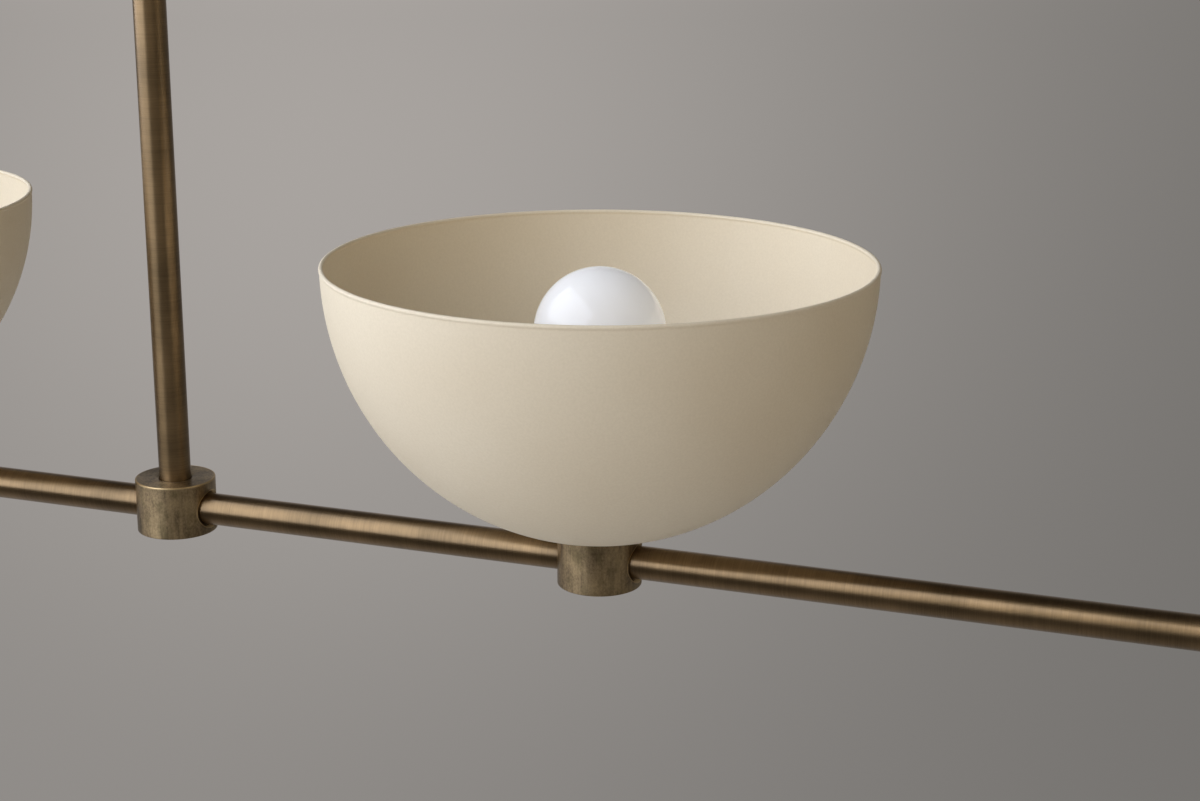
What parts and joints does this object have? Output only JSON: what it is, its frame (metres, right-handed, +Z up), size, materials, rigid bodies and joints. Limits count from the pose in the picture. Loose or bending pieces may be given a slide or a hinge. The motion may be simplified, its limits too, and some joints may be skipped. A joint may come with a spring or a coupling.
{
  "type": "linear island pendant light",
  "caption": "Ceiling pendant: a straight brass bar on one stem carries a row of upturned bowl shades, each on a turned hub with a lamp standing inside.",
  "frame": {"origin": "centre of the mounting plate's slots, in the ceiling plane", "axes": "+Z up into the ceiling, +X along the bar, +Y horizontal across the bar"},
  "size_m": [1.625, 0.254, 0.682],
  "materials": {
    "aged_brass": "aged, brushed round the tube",
    "hub_brass": "aged, turned, with bright worn edges",
    "plain_brass": "as machined",
    "cream_coat": "matte powder coat on spun steel",
    "opal_glass": "white opal, glossy",
    "porcelain": "glazed white",
    "nickel": "nickel plate",
    "zinc_steel": "zinc plate",
    "green_steel": "green passivated",
    "nylon": "natural",
    "black_insulation": "extruded",
    "white_insulation": "extruded",
    "green_insulation": "extruded",
    "connector_plastic": "moulded, ribbed",
    "lamp_foot": "black glass foot with a solder tip"
  },
  "bodies": {
    "ceiling": {"mounting_plate": "zinc_steel", "ground_screw": "green_steel", "ground_lead": "green_insulation", "canopy": "aged_brass", "canopy_studs": "zinc_steel", "canopy_cap_nuts": "aged_brass", "swivel_housing": "aged_brass", "swivel_housing_nut": "aged_brass", "swivel_retaining_ring": "plain_brass", "wire_connectors": "connector_plastic", "canopy_line_leads": "black_insulation", "canopy_neutral_leads": "white_insulation"},
    "lower_liner": {"swivel_lower_liner": "nylon"},
    "upper_liner": {"swivel_upper_liner": "nylon"},
    "pendant": {"centre_hub": "hub_brass", "hub_plugs": "hub_brass", "line_leads": "black_insulation", "neutral_leads": "white_insulation", "shade_1": "cream_coat", "shade_2": "cream_coat", "shade_3": "cream_coat", "shade_4": "cream_coat", "shade_hub_1": "hub_brass", "shade_hub_2": "hub_brass", "shade_hub_3": "hub_brass", "shade_hub_4": "hub_brass", "shade_nuts": "zinc_steel", "shade_washers": "zinc_steel", "socket_body_1": "porcelain", "socket_body_2": "porcelain", "socket_body_3": "porcelain", "socket_body_4": "porcelain", "socket_contacts": "plain_brass", "socket_nipples": "plain_brass", "socket_shell_1": "nickel", "socket_shell_2": "nickel", "socket_shell_3": "nickel", "socket_shell_4": "nickel", "socket_terminal_screws": "nickel", "stem": "aged_brass", "swivel_ball": "plain_brass", "swivel_nipple": "plain_brass", "tube_bushings": "plain_brass", "tube_inner_left": "aged_brass", "tube_inner_right": "aged_brass", "tube_nipples": "plain_brass", "tube_outer_left": "aged_brass", "tube_outer_right": "aged_brass"},
    "lamp_1": {"bulb_glass_1": "opal_glass", "bulb_base_1": "nickel", "bulb_contact_1": "lamp_foot"},
    "lamp_2": {"bulb_glass_2": "opal_glass", "bulb_base_2": "nickel", "bulb_contact_2": "lamp_foot"},
    "lamp_3": {"bulb_glass_3": "opal_glass", "bulb_base_3": "nickel", "bulb_contact_3": "lamp_foot"},
    "lamp_4": {"bulb_glass_4": "opal_glass", "bulb_base_4": "nickel", "bulb_contact_4": "lamp_foot"}
  },
  "joints": [
    {"name": "swivel_turn", "type": "hinge", "parent": "ceiling", "child": "lower_liner", "pos_m": [0, 0, -0.031], "axis": [0, 0, 1], "range_deg": [-170, 170]},
    {"name": "swing_across", "type": "hinge", "parent": "lower_liner", "child": "upper_liner", "pos_m": [0, 0, -0.031], "axis": [1, 0, 0], "range_deg": [-15, 15]},
    {"name": "swing_along", "type": "hinge", "parent": "upper_liner", "child": "pendant", "pos_m": [0, 0, -0.031], "axis": [0, 1, 0], "range_deg": [-15, 15]},
    {"name": "lamp_1_out", "type": "slide", "parent": "pendant", "child": "lamp_1", "axis": [0, 0, 1], "range_m": [0, 0.12]},
    {"name": "lamp_2_out", "type": "slide", "parent": "pendant", "child": "lamp_2", "axis": [0, 0, 1], "range_m": [0, 0.12]},
    {"name": "lamp_3_out", "type": "slide", "parent": "pendant", "child": "lamp_3", "axis": [0, 0, 1], "range_m": [0, 0.12]},
    {"name": "lamp_4_out", "type": "slide", "parent": "pendant", "child": "lamp_4", "axis": [0, 0, 1], "range_m": [0, 0.12]}
  ]
}
